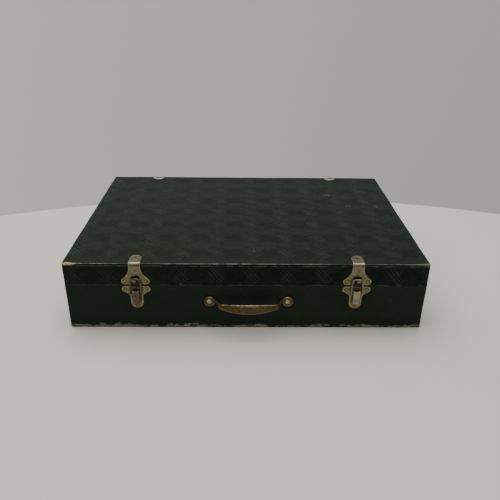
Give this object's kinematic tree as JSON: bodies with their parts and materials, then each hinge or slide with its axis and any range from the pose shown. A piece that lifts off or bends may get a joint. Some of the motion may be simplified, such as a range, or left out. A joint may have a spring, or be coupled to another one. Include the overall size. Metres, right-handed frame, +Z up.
{
  "type": "mancala board in a carrying case",
  "caption": "Cloth-covered wooden carrying case with hinged lid, drop-lever latches and a bow handle, holding a mancala board with pits, stores and stones.",
  "frame": {"origin": "middle of the case's underside", "axes": "+X to the right seen from the front, +Y from the handle to the hinges, +Z up; -Z points out of the face it rests on"},
  "size_m": [0.406, 0.3099, 0.0857],
  "materials": {
    "case_wood": "bare sawn softwood",
    "green_cloth": "embossed dark green book cloth, semi-gloss, worn at the edges",
    "board_wood": "oiled hardwood",
    "seed_glass": "polished",
    "felt": "felt over a soft pad",
    "plate_metal": "aged nickel plate with brown patina",
    "lever_copper": "dull reddish brown",
    "lever_tan": "dull pale tan",
    "handle_metal": "aged, brown patina",
    "nail_steel": "dull bright"
  },
  "bodies": {
    "base": {"base_front_wall": "case_wood", "base_back_wall": "case_wood", "base_left_wall": "case_wood", "base_right_wall": "case_wood", "base_bottom_panel": "case_wood", "base_covering": "green_cloth", "board_ledges": "case_wood", "mancala_board": "board_wood", "seeds": "seed_glass", "left_latch_plate": "plate_metal", "right_latch_plate": "plate_metal", "left_lever_pin": "nail_steel", "right_lever_pin": "nail_steel", "left_hinge_base_leaf": "plate_metal", "right_hinge_base_leaf": "plate_metal", "left_hinge_pin": "nail_steel", "right_hinge_pin": "nail_steel", "latch_plate_nails": "nail_steel", "hinge_base_nails": "nail_steel", "handle_bow": "handle_metal", "handle_rivets": "nail_steel", "handle_washers": "nail_steel"},
    "lid": {"lid_front_wall": "case_wood", "lid_back_wall": "case_wood", "lid_left_wall": "case_wood", "lid_right_wall": "case_wood", "lid_top_panel": "case_wood", "lid_covering": "green_cloth", "lid_pad": "felt", "left_catch_plate": "plate_metal", "right_catch_plate": "plate_metal", "catch_plate_nails": "nail_steel", "left_hinge_lid_leaf": "plate_metal", "right_hinge_lid_leaf": "plate_metal", "hinge_lid_nails": "nail_steel"},
    "left_lever": {"left_lever": "lever_copper"},
    "left_loop": {"left_wire_loop": "plate_metal"},
    "right_lever": {"right_lever": "lever_tan"},
    "right_loop": {"right_wire_loop": "plate_metal"}
  },
  "joints": [
    {"name": "lid_hinge", "type": "hinge", "parent": "base", "child": "lid", "pos_m": [0, 0.1448, 0.0572], "axis": [-1, 0, 0], "range_deg": [0, 180]},
    {"name": "left_lever_hinge", "type": "hinge", "parent": "base", "child": "left_lever", "pos_m": [-0.1233, -0.1461, 0.05], "axis": [-1, 0, 0], "range_deg": [0, 110]},
    {"name": "left_loop_hinge", "type": "hinge", "parent": "left_lever", "child": "left_loop", "pos_m": [-0.1233, -0.1461, 0.047], "axis": [1, 0, 0], "range_deg": [0, 110]},
    {"name": "right_lever_hinge", "type": "hinge", "parent": "base", "child": "right_lever", "pos_m": [0.1233, -0.1461, 0.05], "axis": [-1, 0, 0], "range_deg": [0, 110]},
    {"name": "right_loop_hinge", "type": "hinge", "parent": "right_lever", "child": "right_loop", "pos_m": [0.1233, -0.1461, 0.047], "axis": [1, 0, 0], "range_deg": [0, 110]}
  ],
  "couplings": [
    {"joint": "left_loop_hinge", "follows": "left_lever_hinge", "ratio": 1},
    {"joint": "right_loop_hinge", "follows": "right_lever_hinge", "ratio": 1}
  ]
}
